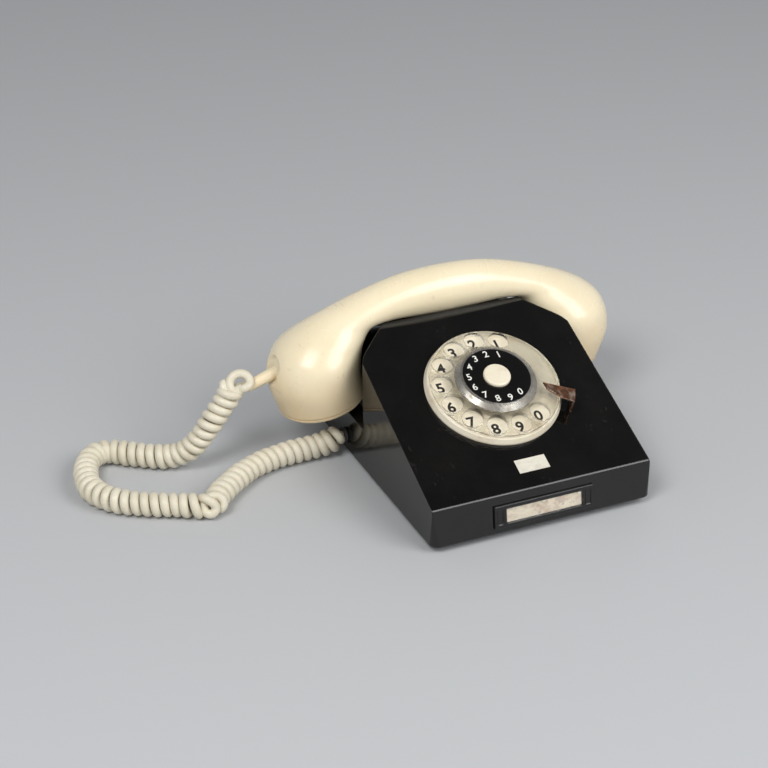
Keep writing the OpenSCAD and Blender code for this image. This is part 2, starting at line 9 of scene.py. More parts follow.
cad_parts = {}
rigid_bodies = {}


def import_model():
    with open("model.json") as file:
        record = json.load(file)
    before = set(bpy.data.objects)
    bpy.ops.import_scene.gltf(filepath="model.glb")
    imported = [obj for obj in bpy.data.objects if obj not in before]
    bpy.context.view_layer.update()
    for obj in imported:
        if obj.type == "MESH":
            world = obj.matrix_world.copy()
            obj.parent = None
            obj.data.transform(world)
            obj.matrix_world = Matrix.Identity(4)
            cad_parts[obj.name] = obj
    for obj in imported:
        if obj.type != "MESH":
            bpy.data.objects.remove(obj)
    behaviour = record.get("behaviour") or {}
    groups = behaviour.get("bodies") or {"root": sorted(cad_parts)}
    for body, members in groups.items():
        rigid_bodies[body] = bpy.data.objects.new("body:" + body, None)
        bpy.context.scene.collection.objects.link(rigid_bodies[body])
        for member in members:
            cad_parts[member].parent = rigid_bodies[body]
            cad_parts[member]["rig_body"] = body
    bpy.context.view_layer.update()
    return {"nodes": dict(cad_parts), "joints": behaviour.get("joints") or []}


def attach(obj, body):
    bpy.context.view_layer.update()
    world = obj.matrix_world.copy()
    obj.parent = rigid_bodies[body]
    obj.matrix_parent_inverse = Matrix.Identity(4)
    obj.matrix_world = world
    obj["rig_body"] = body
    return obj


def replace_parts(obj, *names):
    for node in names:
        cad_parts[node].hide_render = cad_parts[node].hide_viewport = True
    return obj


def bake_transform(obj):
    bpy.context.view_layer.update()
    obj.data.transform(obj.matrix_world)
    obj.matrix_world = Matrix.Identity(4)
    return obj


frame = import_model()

MM = 0.001
nodes = frame["nodes"]

# The deck: its slope and the middle of the dial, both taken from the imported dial.
joint = {j["name"]: j for j in frame["joints"]}
DECK_AXIS = Vector(joint["dial_spin"]["axis"]).normalized()
DIAL = Vector(joint["dial_spin"]["pos_m"])
DECK_UP = Vector((1, 0, 0)).cross(DECK_AXIS).normalized() * -1


# ---------------------------------------------------------------- camera
CAMERA_AT = (-0.46839, -0.92247, 0.61582)
CAMERA_DOWN = 28.767  # degrees below level
CAMERA_ROUND = 23.964  # degrees to the right of straight ahead
SENSOR, LENS = 36, 97.68
SEEN_TO = 30  # metres


def set_camera():
    """A long lens that looks down on the telephone from the front left."""
    data = bpy.data.cameras.new("camera")
    data.sensor_width, data.lens = SENSOR, LENS
    data.clip_end = SEEN_TO
    camera = bpy.data.objects.new("camera", data)
    bpy.context.scene.collection.objects.link(camera)
    camera.location = CAMERA_AT
    camera.rotation_euler = (radians(90 - CAMERA_DOWN), 0, radians(-CAMERA_ROUND))
    bpy.context.scene.camera = camera


# ---------------------------------------------------------------- materials
class Finish:
    """A procedural finish: one Principled shader whose patterns read Object coordinates."""

    def __init__(self, name, color, roughness, **sockets):
        self.material = bpy.data.materials.new(name)
        self.material.use_nodes = True
        self.tree = self.material.node_tree
        self.shader = self.tree.nodes["Principled BSDF"]
        self.shader.inputs["Base Color"].default_value = (*color, 1)
        self.shader.inputs["Roughness"].default_value = roughness
        for socket, value in sockets.items():
            self.shader.inputs[socket.replace("_", " ")].default_value = value
        self.place = self.tree.nodes.new("ShaderNodeTexCoord").outputs["Object"]

    def node(self, kind, settings=None, **inputs):
        """A shader node with its settings, its inputs fed by keyword."""
        made = self.tree.nodes.new("ShaderNode" + kind)
        for key, value in (settings or {}).items():
            setattr(made, key, value)
        for key, value in inputs.items():
            self.feed(made.inputs[key.replace("_", " ")], value)
        return made

    def feed(self, socket, value):
        """A link where value is another node's output, and otherwise the value itself."""
        if isinstance(value, bpy.types.NodeSocket):
            self.tree.links.new(value, socket)
        else:
            socket.default_value = value

    def turned(self, turn, stretch):
        """Object coordinates turned and then drawn out, for a grain with a direction."""
        return self.node("Mapping", Vector=self.place, Rotation=turn, Scale=stretch).outputs["Vector"]

    def noise(self, scale, detail=3, rough=0.5, place=None):
        """Cloudy noise from 0 to 1."""
        return self.node("TexNoise", Vector=place or self.place, Scale=scale, Detail=detail,
                         Roughness=rough).outputs["Fac"]

    def cells(self, scale):
        """The distance to the nearest of many scattered points."""
        return self.node("TexVoronoi", Vector=self.place, Scale=scale).outputs["Distance"]

    def ramp(self, fac, low, high, a=0.0, b=1.0):
        """A value that runs from a to b while fac runs from low to high."""
        made = self.node("MapRange", Value=fac)
        for key, value in (("From Min", low), ("From Max", high), ("To Min", a), ("To Max", b)):
            made.inputs[key].default_value = value
        return made.outputs["Result"]

    def mix(self, fac, a, b):
        """The colour between a and b."""
        made = self.node("Mix", {"data_type": "RGBA"})
        colors = [(*c, 1) if isinstance(c, tuple) and len(c) == 3 else c for c in (a, b)]
        self.feed(made.inputs["Factor"], fac)
        self.feed(made.inputs[6], colors[0])
        self.feed(made.inputs[7], colors[1])
        return made.outputs[2]

    def math(self, kind, a, b):
        """One sum, product or the like of two values."""
        made = self.node("Math", {"operation": kind})
        self.feed(made.inputs[0], a)
        self.feed(made.inputs[1], b)
        return made.outputs[0]

    def height(self):
        """The height above the table."""
        return self.node("SeparateXYZ", Vector=self.place).outputs["Z"]

    def color(self, value):
        """Feed the base colour."""
        self.feed(self.shader.inputs["Base Color"], value)
        return self

    def rough(self, value):
        """Feed the roughness."""
        self.feed(self.shader.inputs["Roughness"], value)
        return self

    def bump(self, height, strength, depth, edge=0):
        """Relief from a height; with edge, the normal is also eased over that distance at corners."""
        made = self.node("Bump", Height=height, Strength=strength, Distance=depth)
        if edge:
            eased_normal = self.node("Bevel", {"samples": 6}, Radius=edge).outputs["Normal"]
            self.tree.links.new(eased_normal, made.inputs["Normal"])
        self.tree.links.new(made.outputs["Normal"], self.shader.inputs["Normal"])
        return self

    def scratches(self, count, scale, cut):
        """Fine straight marks: noise drawn out in several directions, kept where it is high."""
        marks = None
        for k in range(count):
            place = self.turned((0.3 * k, 0.5 * k, 0.9 + 1.27 * k), (1, 0.03, 1))
            line = self.ramp(self.noise(scale, 1, 0.4, place), cut, cut + 0.03)
            gate = self.ramp(self.noise(22 + 5 * k, 2, 0.5), 0.5, 0.62)
            line = self.math("MULTIPLY", line, gate)
            marks = line if marks is None else self.math("MAXIMUM", marks, line)
        return marks


def black_finish():
    """Polished black plastic with faint fine scratches, hazy patches and a few specks of dust."""
    polish = 0.07
    f = Finish("black_plastic", (0.0035, 0.0032, 0.003), polish, IOR=1.5)
    haze = f.ramp(f.noise(34, 5, 0.6), 0.42, 0.75)
    marks = f.scratches(4, 420, 0.74)
    specks = f.math("MULTIPLY", f.ramp(f.cells(520), 0.07, 0.03), f.ramp(f.noise(60, 2), 0.56, 0.64, 0, 0.3))
    worn = f.mix(haze, (0.0030, 0.0028, 0.0026), (0.0062, 0.0054, 0.0048))
    worn = f.mix(f.math("MULTIPLY", marks, 0.3), worn, (0.035, 0.032, 0.029))
    f.color(f.mix(specks, worn, (0.20, 0.18, 0.15)))
    f.rough(f.math("ADD", f.ramp(haze, 0, 1, polish, polish + 0.10), f.math("MULTIPLY", marks, 0.12)))
    f.bump(f.noise(18, 2), 0.16, 0.0012, edge=1.0 * MM)
    return f


def ivory_finish():
    """Glossy ivory plastic, yellowed with age, with painted shade that makes it darker and more orange low
    down.
    """
    f = Finish("ivory_plastic", (0.80, 0.72, 0.52), 0.3, IOR=1.5, Subsurface_Weight=0.06,
               Subsurface_Scale=0.004, Coat_Weight=0.2, Coat_Roughness=0.12)
    # painted shade: a mask that is full below 28 mm above the table and gone above 62 mm
    low = f.ramp(f.height(), 0.062, 0.028)
    cloud = f.ramp(f.noise(26, 4, 0.55), 0.35, 0.7)
    base = f.mix(cloud, (0.84, 0.735, 0.52), (0.79, 0.68, 0.46))
    # painted shade: low down, the colour is pulled towards orange-brown
    base = f.mix(f.math("MULTIPLY", low, 0.9), base, (0.74, 0.56, 0.33))
    specks = f.math("MULTIPLY", f.ramp(f.cells(230), 0.09, 0.03), f.ramp(f.noise(40, 2), 0.55, 0.62, 0, 0.5))
    marks = f.scratches(4, 240, 0.73)
    base = f.mix(f.math("MULTIPLY", marks, 0.25), base, (0.55, 0.44, 0.28))
    f.color(f.mix(specks, base, (0.30, 0.21, 0.12)))
    f.rough(f.math("ADD", f.ramp(cloud, 0, 1, 0.24, 0.36), f.math("MULTIPLY", marks, 0.15)))
    f.bump(f.math("ADD", f.noise(900, 2), f.math("MULTIPLY", f.noise(40, 2), 3.0)), 0.12, 0.0005)
    return f


def cream_finish():
    """Satin cream plastic of the dial, with patches of brown dirt."""
    f = Finish("cream_plastic", (0.76, 0.71, 0.58), 0.34, IOR=1.49)
    dirt = f.ramp(f.noise(75, 6, 0.65), 0.53, 0.78)
    cloud = f.ramp(f.noise(30, 3), 0.35, 0.7)
    base = f.mix(cloud, (0.80, 0.73, 0.58), (0.74, 0.66, 0.50))
    f.color(f.mix(f.math("MULTIPLY", dirt, 0.6), base, (0.42, 0.29, 0.17)))
    f.rough(f.ramp(dirt, 0, 1, 0.28, 0.5))
    f.bump(f.noise(600, 3), 0.1, 0.0004)
    return f


def wheel_finish():
    """Clear acrylic, a little yellow, with a film of grime and scuffs."""
    f = Finish("clear_wheel", (0.97, 0.95, 0.88), 0.05, IOR=1.49, Transmission_Weight=1.0, Alpha=0.55)
    film = f.ramp(f.noise(120, 6, 0.7), 0.5, 0.85)
    marks = f.scratches(3, 330, 0.74)
    f.color(f.mix(film, (0.98, 0.965, 0.90), (0.86, 0.79, 0.64)))
    f.rough(f.math("ADD", f.ramp(film, 0, 1, 0.04, 0.2), f.math("MULTIPLY", marks, 0.2)))
    f.bump(f.noise(45, 2), 0.1, 0.0006)
    return f


def window_finish():
    """The clear strip over the label card, scuffed and a little cloudy."""
    f = Finish("clear_window", (0.97, 0.96, 0.93), 0.08, IOR=1.49, Transmission_Weight=1.0, Alpha=0.45)
    marks = f.scratches(5, 280, 0.66)
    f.color(f.mix(f.ramp(f.noise(160, 5, 0.7), 0.5, 0.8), (0.97, 0.96, 0.93), (0.75, 0.68, 0.58)))
    f.rough(f.math("ADD", f.ramp(f.noise(90, 4), 0.4, 0.7, 0.05, 0.2), f.math("MULTIPLY", marks, 0.3)))
    f.bump(marks, 0.2, 0.0003)
    return f


def paper_finish(name, pale, stain, amount):
    """Old card or paper: fibres, and stains of a given colour."""
    f = Finish(name, pale, 0.8)
    spots = f.ramp(f.noise(140, 6, 0.7, f.turned((0, 0, 0), (0.6, 1, 1))), 0.5, 0.72)
    fibre = f.noise(900, 4, 0.6, f.turned((0, 0, 0.3), (0.3, 1, 1)))
    base = f.mix(f.ramp(fibre, 0.35, 0.65), pale, tuple(c * 0.9 for c in pale))
    f.color(f.mix(f.math("MULTIPLY", spots, amount), base, stain))
    f.rough(f.ramp(fibre, 0.3, 0.7, 0.7, 0.9))
    f.bump(fibre, 0.25, 0.0002)
    return f


def metal_finish(name, pale, dark, roughness, metallic=1.0, scale=90.0):
    """Plated or bare metal: dull patches, darker tarnish and fine drawn lines."""
    f = Finish(name, pale, roughness, Metallic=metallic)
    patch = f.ramp(f.noise(scale, 5, 0.6), 0.4, 0.72)
    drawn = f.noise(700, 2, 0.5, f.turned((0, 0, 0.2), (1, 0.05, 1)))
    f.color(f.mix(patch, pale, dark))
    lines = f.ramp(drawn, 0.4, 0.6, -0.03, 0.06)
    f.rough(f.math("ADD", f.ramp(patch, 0, 1, roughness, roughness + 0.25), lines))
    f.bump(f.math("ADD", drawn, f.noise(260, 3)), 0.12, 0.0002)
    return f


def matt_finish(name, color, other, roughness):
    """Moulded, rubbery or waxed matter: two near colours and a fine grain."""
    f = Finish(name, color, roughness)
    patch = f.ramp(f.noise(120.0, 5, 0.6), 0.38, 0.7)
    f.color(f.mix(patch, color, other))
    f.rough(f.ramp(patch, 0, 1, roughness - 0.06, min(1.0, roughness + 0.1)))
    f.bump(f.noise(900.0, 3, 0.6), 0.3, 0.0003)
    return f


def board_finish():
    """Brown phenolic board with the cross grain of its paper layers."""
    f = Finish("brown_board", (0.19, 0.10, 0.045), 0.45)
    along = f.noise(420, 3, 0.6, f.turned((0, 0, 0), (0.1, 1, 1)))
    across = f.noise(420, 3, 0.6, f.turned((0, 0, 0), (1, 0.1, 1)))
    f.color(f.mix(f.ramp(along, 0.35, 0.65), (0.22, 0.12, 0.05), (0.13, 0.065, 0.03)))
    f.rough(f.ramp(across, 0.3, 0.7, 0.35, 0.55))
    f.bump(f.math("ADD", along, across), 0.2, 0.0002)
    return f


def winding_finish():
    """Enamelled copper wire wound in close layers."""
    f = Finish("coil_enamel", (0.28, 0.07, 0.03), 0.35, Metallic=0.4)
    wire = f.node("TexWave", {"wave_type": "BANDS", "bands_direction": "Y"}, Vector=f.place, Scale=620.0,
                  Distortion=0.4).outputs["Fac"]
    f.color(f.mix(wire, (0.14, 0.03, 0.015), (0.36, 0.11, 0.05)))
    f.rough(f.ramp(wire, 0, 1, 0.5, 0.28))
    f.bump(wire, 0.6, 0.0004)
    return f


def cord_finish():
    """Cream cord plastic: satin, a little grey with dirt, paler in patches."""
    f = Finish("cord_plastic", (0.68, 0.63, 0.50), 0.42, IOR=1.48, Subsurface_Weight=0.05,
               Subsurface_Scale=0.003)
    cloud = f.ramp(f.noise(55, 5, 0.6), 0.35, 0.72)
    dirt = f.ramp(f.noise(320, 5, 0.7), 0.56, 0.8)
    base = f.mix(cloud, (0.71, 0.66, 0.53), (0.63, 0.575, 0.44))
    f.color(f.mix(f.math("MULTIPLY", dirt, 0.45), base, (0.42, 0.36, 0.26)))
    f.rough(f.ramp(cloud, 0, 1, 0.34, 0.5))
    f.bump(f.noise(1100, 3), 0.15, 0.0003)
    return f


def copper_finish():
    """The finger stop's worn brown plating: bright scuffs over dark and reddish patches."""
    f = Finish("stop_copper", (0.22, 0.12, 0.07), 0.32, Metallic=0.75)
    patch = f.ramp(f.noise(150, 6, 0.7), 0.4, 0.66)
    scuff = f.ramp(f.noise(260, 5, 0.7, f.turned((0, 0, 0.5), (1, 0.25, 1))), 0.5, 0.68)
    base = f.mix(patch, (0.13, 0.075, 0.05), (0.33, 0.13, 0.06))
    f.color(f.mix(f.math("MULTIPLY", scuff, 0.8), base, (0.62, 0.50, 0.42)))
    f.rough(f.ramp(patch, 0, 1, 0.22, 0.45))
    f.bump(f.noise(380, 4), 0.25, 0.0003)
    return f


finish = {
    "black_plastic": black_finish(),
    "black_plate": matt_finish("black_plate", (0.03, 0.03, 0.033), (0.05, 0.048, 0.045), 0.6),
    "rubber": matt_finish("rubber", (0.022, 0.022, 0.022), (0.05, 0.045, 0.04), 0.8),
    "steel": metal_finish("steel", (0.56, 0.55, 0.52), (0.34, 0.32, 0.28), 0.3),
    "card": paper_finish("card", (0.86, 0.78, 0.64), (0.40, 0.20, 0.13), 0.8),
    "sticker": paper_finish("sticker", (0.70, 0.665, 0.56), (0.42, 0.39, 0.33), 0.5),
    "clear_window": window_finish(),
    "clear_wheel": wheel_finish(),
    "ivory_plastic": ivory_finish(),
    "cream_plastic": cream_finish(),
    "hub_metal": metal_finish("hub_metal", (0.44, 0.42, 0.38), (0.24, 0.21, 0.17), 0.2, 0.8, 140),
    "stop_copper": copper_finish(),
    "brass": metal_finish("brass", (0.68, 0.48, 0.20), (0.40, 0.27, 0.12), 0.28),
    "brown_board": board_finish(),
    "coil_enamel": winding_finish(),
    "foil": matt_finish("foil", (0.58, 0.50, 0.30), (0.44, 0.36, 0.20), 0.4),
    "cord_plastic": cord_finish(),
    "ink_black": matt_finish("ink_black", (0.012, 0.011, 0.010), (0.03, 0.028, 0.024), 0.45),
    "ink_white": matt_finish("ink_white", (0.82, 0.81, 0.76), (0.68, 0.66, 0.58), 0.4),
}


def finish_nodes():
    """Every carried-over node gets the finish of its own slot."""
    for piece in nodes.values():
        piece.data.materials[0] = finish[piece.data.materials[0].name.split(".")[0]].material


# ---------------------------------------------------------------- mesh helpers
MERGE = 1e-6  # points closer than this are one point
EASED_STEPS, EASED_ANGLE = 3, 30


def add_piece(name, mesh, slot, body=None, look=None):
    """A new object from a mesh, in the finish of its slot unless look names another."""
    piece = bpy.data.objects.new(name, mesh)
    bpy.context.scene.collection.objects.link(piece)
    mesh.materials.clear()
    mesh.materials.append(finish[look or slot].material)
    if body:
        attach(piece, body)
    return piece


def skin(name, rings):
    """A closed surface over rings[i, j]: quads join each ring to the next, and at each end a fan
    of triangles joins the ring to its middle point. All faces are then turned outwards."""
    count, sides = rings.shape[:2]
    points = np.concatenate([rings.reshape(-1, 3), rings[:1].mean(1), rings[-1:].mean(1)])
    i, j = np.meshgrid(np.arange(count - 1), np.arange(sides), indexing="ij")
    k = (j + 1) % sides
    quads = np.stack([i * sides + j, i * sides + k, (i + 1) * sides + k, (i + 1) * sides + j], -1)
    quads = quads.reshape(-1, 4)
    j = np.arange(sides)
    k = (j + 1) % sides
    last = (count - 1) * sides
    first_fan = np.stack([k, j, np.full(sides, count * sides)], -1)
    last_fan = np.stack([last + j, last + k, np.full(sides, count * sides + 1)], -1)
    mesh = bpy.data.meshes.new(name)
    mesh.from_pydata(points.tolist(), [], quads.tolist() + first_fan.tolist() + last_fan.tolist())
    mesh.polygons.foreach_set("use_smooth", np.ones(len(mesh.polygons), bool))
    solid = bmesh.new()
    solid.from_mesh(mesh)
    bmesh.ops.recalc_face_normals(solid, faces=solid.faces)
    solid.to_mesh(mesh)
    solid.free()
    mesh.update()
    return mesh


def spline(points, t):
    """The smooth curve through the points (Catmull-Rom), at t, where whole numbers are the points."""
    p = np.asarray(points, float)
    p = np.concatenate([[2 * p[0] - p[1]], p, [2 * p[-1] - p[-2]]])
    i = np.clip(np.floor(t).astype(int), 0, len(p) - 4)
    f = (t - i)[:, None]
    a, b, c, d = p[i], p[i + 1], p[i + 2], p[i + 3]
    square, cube = 2 * a - 5 * b + 4 * c - d, 3 * b - a - 3 * c + d
    return 0.5 * (2 * b + (c - a) * f + square * f ** 2 + cube * f ** 3)


def unit(v):
    """Each vector divided by its own length."""
    return v / np.linalg.norm(v, axis=-1, keepdims=True)


def smooth(t):
    """A step from 0 to 1 that starts and ends level: 3 t squared less 2 t cubed."""
    return t * t * (3 - 2 * t)


def eased(node, name, width):
    """A copy of a node with its corner points merged and its edges rounded by width."""
    source = nodes[node]
    mesh = source.data.copy()
    mesh.name = name
    if "custom_normal" in mesh.attributes:
        mesh.attributes.remove(mesh.attributes["custom_normal"])
    solid = bmesh.new()
    solid.from_mesh(mesh)
    bmesh.ops.remove_doubles(solid, verts=solid.verts, dist=MERGE)
    for face in solid.faces:
        face.smooth = True
    for edge in solid.edges:
        edge.smooth = True
    solid.to_mesh(mesh)
    solid.free()
    piece = add_piece(name, mesh, source.data.materials[0].name.split(".")[0], source["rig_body"])
    bevel = piece.modifiers.new("edges", "BEVEL")
    bevel.width, bevel.segments, bevel.limit_method = width, EASED_STEPS, "ANGLE"
    bevel.angle_limit = radians(EASED_ANGLE)
    bevel.use_clamp_overlap = False
    bevel.miter_outer = "MITER_ARC"
    piece.modifiers.new("shading", "WEIGHTED_NORMAL")
    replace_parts(piece, node)


# ---------------------------------------------------------------- cord
CORD_D = 5.2 * MM
COIL_R = 4.6 * MM
PITCH = 5.4 * MM
CORD_SIDES = 12
ROUTE_STEP = 0.25 * MM
COIL_ROUTE = [
    (-125.5, 50, 52.6), (-129.2, 50, 50.3), (-132.6, 50, 44.6), (-137.5, 50, 38), (-143.5, 50, 30),
    (-149, 51.5, 21.5), (-155.5, 54.5, 13.5), (-164, 60, 8.4), (-174, 66, 7.4), (-185, 74, 7.4),
    (-195, 81, 7.4), (-203, 80.5, 7.4), (-210, 73, 7.4), (-214.5, 61, 7.4), (-216, 47, 7.4),
    (-212, 35, 7.4), (-204, 25.5, 7.4), (-192, 17.5, 7.4), (-178, 10.5, 7.4), (-168, 5.5, 7.4),
    (-160, 6.5, 7.4), (-151, 13, 7.4), (-141, 21.5, 7.4), (-130, 29, 7.4), (-119, 34, 7.4),
    (-106, 37, 7.4), (-92, 38, 7.4), (-82, 37.5, 8.2), (-74, 36.2, 10.8)]
TAIL_AT_HANDSET = [(-113, 50, 51), (-120.7, 50, 48.4), (-121.8, 50, 48.7), (-123.3, 50, 51.8)]
TAIL_AT_SHELL = [(-71, 36, 11.8), (-69, 36, 12), (-60, 36, 12)]
FIRST_ANGLE = 2.4  # where the first turn starts, in radians round the route
TURNS_START = 9.2 * MM  # from the route's first point
TURNS_END = 9 * MM  # from the route's last point
GROW = 3 * MM  # the stretch in which a turn reaches its full radius
LOOSE_TURNS = [  # the place of each open turn, and how far it is pulled aside
    ((-126.4, 50, 52.4), (-0.6, -1.2, 0.8)),
    ((-161, 6, 7.4), (0.5, -4.5, 0.6))]
LOOSE_FACING = Vector((-0.39, -0.77, 0.5)).normalized()
LOOSE_REACH, LOOSE_FADE = 4.4 * MM, 1.8 * MM  # how far along the route a turn is open, and its ends
PULL_REACH = 10 * MM  # how far along the route the pull is felt
TABLE_GAP = 0.05 * MM


def even_line(points, step):
    """The smooth curve through the points, as points a step apart, and its length."""
    fine = spline(np.array(points) * MM, np.linspace(0, len(points) - 1, 60 * len(points)))
    along = np.concatenate([[0], np.cumsum(np.linalg.norm(np.diff(fine, axis=0), axis=1))])
    at = np.linspace(0, along[-1], int(along[-1] / step) + 2)
    return np.stack([np.interp(at, along, fine[:, k]) for k in range(3)], 1), along[-1]


def side_vectors(line):
    """Two directions square to a line and to each other, carried along it without twisting."""
    tangent = unit(np.gradient(line, axis=0))
    side = np.zeros_like(line)
    side[0] = unit(np.cross([0, 0, 1], tangent[0]))
    for i in range(1, len(line)):
        moved = side[i - 1] - tangent[i] * (side[i - 1] @ tangent[i])
        side[i] = moved / np.linalg.norm(moved)
    return tangent, side, np.cross(tangent, side)


def cord_line():
    """The cord's own middle line: a helix of radius COIL_R round the coil's route, its radius
    growing from 0 at each end, between two short straight tails, and a little uneven from turn to
    turn. At each loose turn the circle of the helix is swung round until it lies square to
    LOOSE_FACING. Nothing dips into the table."""
    route = TAIL_AT_HANDSET + COIL_ROUTE + TAIL_AT_SHELL
    middle, length = even_line(route, ROUTE_STEP)
    tangent, side, other = side_vectors(middle)
    along = np.linspace(0, length, len(middle))
    facing = np.array(LOOSE_FACING)
    shift = np.zeros_like(middle)
    for place, moved in LOOSE_TURNS:
        at = along[np.argmin(np.linalg.norm(middle - np.array(place) * MM, axis=1))]
        swing = np.clip((LOOSE_REACH - np.abs(along - at)) / LOOSE_FADE, 0, 1)
        swing = smooth(swing)[:, None]
        pull = np.cos(np.clip((along - at) / PULL_REACH, -1, 1) * pi / 2) ** 2
        shift += pull[:, None] * np.array(moved) * MM
        toward = facing * np.sign((tangent @ facing)[:, None])
        flat = unit(side - (side * toward).sum(1, keepdims=True) * toward)
        side = unit(side * (1 - swing) + flat * swing)
        other = unit(other * (1 - swing) + np.cross(toward, flat) * swing)
    start, stop = TURNS_START, length - TURNS_END
    swell = smooth(np.clip((along - start) / GROW, 0, 1) * np.clip((stop - along) / GROW, 0, 1))
    angle = 2 * pi * np.clip(along - start, 0, stop - start) / PITCH + FIRST_ANGLE
    uneven = 1 + 0.04 * np.sin(along / MM * 0.083) + 0.03 * np.sin(along / MM * 0.31 + 1)
    radius = (COIL_R * swell * uneven)[:, None]
    line = middle + shift + radius * (np.cos(angle)[:, None] * side + np.sin(angle)[:, None] * other)
    line[:, 2] = np.maximum(line[:, 2], CORD_D / 2 + TABLE_GAP)
    return line


def make_cord():
    """A round tube along the cord's line: at angle a, a ring's point is the line's point plus half
    the cord's diameter times cos a along one side and sin a along the other."""
    line = cord_line()
    tangent, side, other = side_vectors(line)
    turn = np.linspace(0, 2 * pi, CORD_SIDES, endpoint=False)
    round_ = np.cos(turn)[None, :, None] * side[:, None] + np.sin(turn)[None, :, None] * other[:, None]
    rings = line[:, None] + CORD_D / 2 * round_
    cord = add_piece("curly_cord", skin("curly_cord", rings), "cord_plastic")
    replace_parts(cord, "cord_coil", "cord_tail_handset", "cord_tail_base")
    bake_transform(cord)


# ---------------------------------------------------------------- handset
HANDSET_Y = 50 * MM
OUTER_RAIL = [
    (-101, 28), (-107, 47), (-104, 62.5), (-95.5, 72.5), (-79, 82), (-53.5, 92), (-27, 99), (0, 101)]
INNER_RAIL = [
    (-50, 39), (-52.5, 48), (-53, 58), (-50.5, 67.5), (-44, 74.4), (-32, 75), (-15, 73.4), (0, 72.8)]
HALF_WIDTH = [26, 27.6, 27, 21.5, 15.2, 13.4, 13.4, 13.4]
SLEEVE_OUT = Vector((-106, 50, 53.5)) * MM
SLEEVE_ANGLE = radians(19)
SOCKET_R, SOCKET_EDGE, SOCKET_DEPTH = 7.2 * MM, 1.3 * MM, 2.6 * MM
SOCKET_RAISED = 2.2 * MM  # the socket's middle above the sleeve's
SOCKET_SIDE = -90 * MM  # only points left of this are near the sleeve
CAP_TILT = radians(12.2)
END_STEPS = [(0.88, 15.5), (0.9, 0.0), (0.993, 0.0)]  # share of the end's size, and depth inwards


def mirrored(rail):
    """One half of a rail and its mirror image, as one row of points from left to right."""
    return [(x * MM, z * MM) for x, z in rail] + [(-x * MM, z * MM) for x, z in rail[-2::-1]]


def handset_rings(count=240, sides=96):
    """Oval sections hung between an outer and an inner rail. At angle a, a point is the middle of
    the two rails, plus half their distance times cos a, plus the half width times sin a along Y."""
    t = np.linspace(0, 2 * len(OUTER_RAIL) - 2, count)
    outer, inner = spline(mirrored(OUTER_RAIL), t), spline(mirrored(INNER_RAIL), t)
    widths = np.array(HALF_WIDTH + HALF_WIDTH[-2::-1])[:, None] * MM
    width = spline(widths, t)[:, 0]
    middle, half = (outer + inner) / 2, (outer - inner) / 2
    turn = np.linspace(0, 2 * pi, sides, endpoint=False)
    rings = np.empty((count, sides, 3))
    rings[..., 0] = middle[:, None, 0] + half[:, None, 0] * np.cos(turn)
    rings[..., 2] = middle[:, None, 1] + half[:, None, 1] * np.cos(turn)
    rings[..., 1] = HANDSET_Y + width[:, None] * np.sin(turn)
    return rings


def socket(rings):
    """A shallow socket round the cord's sleeve: points nearer than the socket's radius to the
    sleeve's line sink along it."""
    axis = np.array([-cos(SLEEVE_ANGLE), 0, -sin(SLEEVE_ANGLE)])
    middle = np.array(SLEEVE_OUT) + np.array([0, 0, SOCKET_RAISED])
    away = rings - middle
    off = np.linalg.norm(away - (away @ axis)[..., None] * axis, axis=-1)
    sink = np.clip((SOCKET_R - off) / SOCKET_EDGE, 0, 1)
    sink = smooth(sink) * (rings[..., 0] < SOCKET_SIDE)
    return rings - (SOCKET_DEPTH * sink)[..., None] * axis


def make_handset():
    """The shell between its two caps. Each end is closed by a lip drawn in a little, which shows as
    the seam at the cap, and by a hollow behind it that clears the cap's own rim."""
    rings = socket(handset_rings())
    ends = []
    for end, step in ((rings[0], 1), (rings[-1], -1)):
        middle = end.mean(0)
        inward = np.array([-step * sin(CAP_TILT), 0, cos(CAP_TILT)])
        ends.append([middle + (end - middle) * size + inward * depth * MM for size, depth in END_STEPS])
    rings = np.concatenate([ends[0], rings[1:-1], ends[1][::-1]])
    shell = add_piece("handset_casing", skin("handset_casing", rings), "ivory_plastic", "handset")
    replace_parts(shell, "handset_shell")


# ---------------------------------------------------------------- dial
# The wheel's sizes are in millimetres, its angles in degrees, and a height is above the deck.
FIRST_HOLE = 62.5
HOLE_STEP = 26.6
HOLE_R = 5.9
HOLES_AT = 30.5
WHEEL_BORE, WHEEL_BEND, WHEEL_EDGE = 13.3, 24.4, 36.8
WHEEL_TOP, WHEEL_TOP_EDGE = 8.6, 6.8
WHEEL_UNDER, WHEEL_UNDER_EDGE = 5.6, 4.9
RIM = 0.35  # the rounding of a finger hole's two edges
WHEEL_RIM = [
    (WHEEL_EDGE, WHEEL_TOP_EDGE), (37.2, 6.62), (37.37, 6.3), (37.4, 5.8), (37.37, 5.3), (37.15, 5.0),
    (WHEEL_EDGE, WHEEL_UNDER_EDGE)]
BORE_WALL = [(WHEEL_BORE, WHEEL_UNDER), (WHEEL_BORE, WHEEL_TOP)]
INK = 0.03 * MM


def on_deck(x, y, h):
    """The place x right and y up the deck from the dial's middle, h above the deck."""
    return Matrix.Translation(DIAL + Vector((x, 0, 0)) + DECK_UP * y + DECK_AXIS * h) @ Matrix((
        (1, DECK_UP.x, DECK_AXIS.x), (0, DECK_UP.y, DECK_AXIS.y), (0, DECK_UP.z, DECK_AXIS.z))).to_4x4()


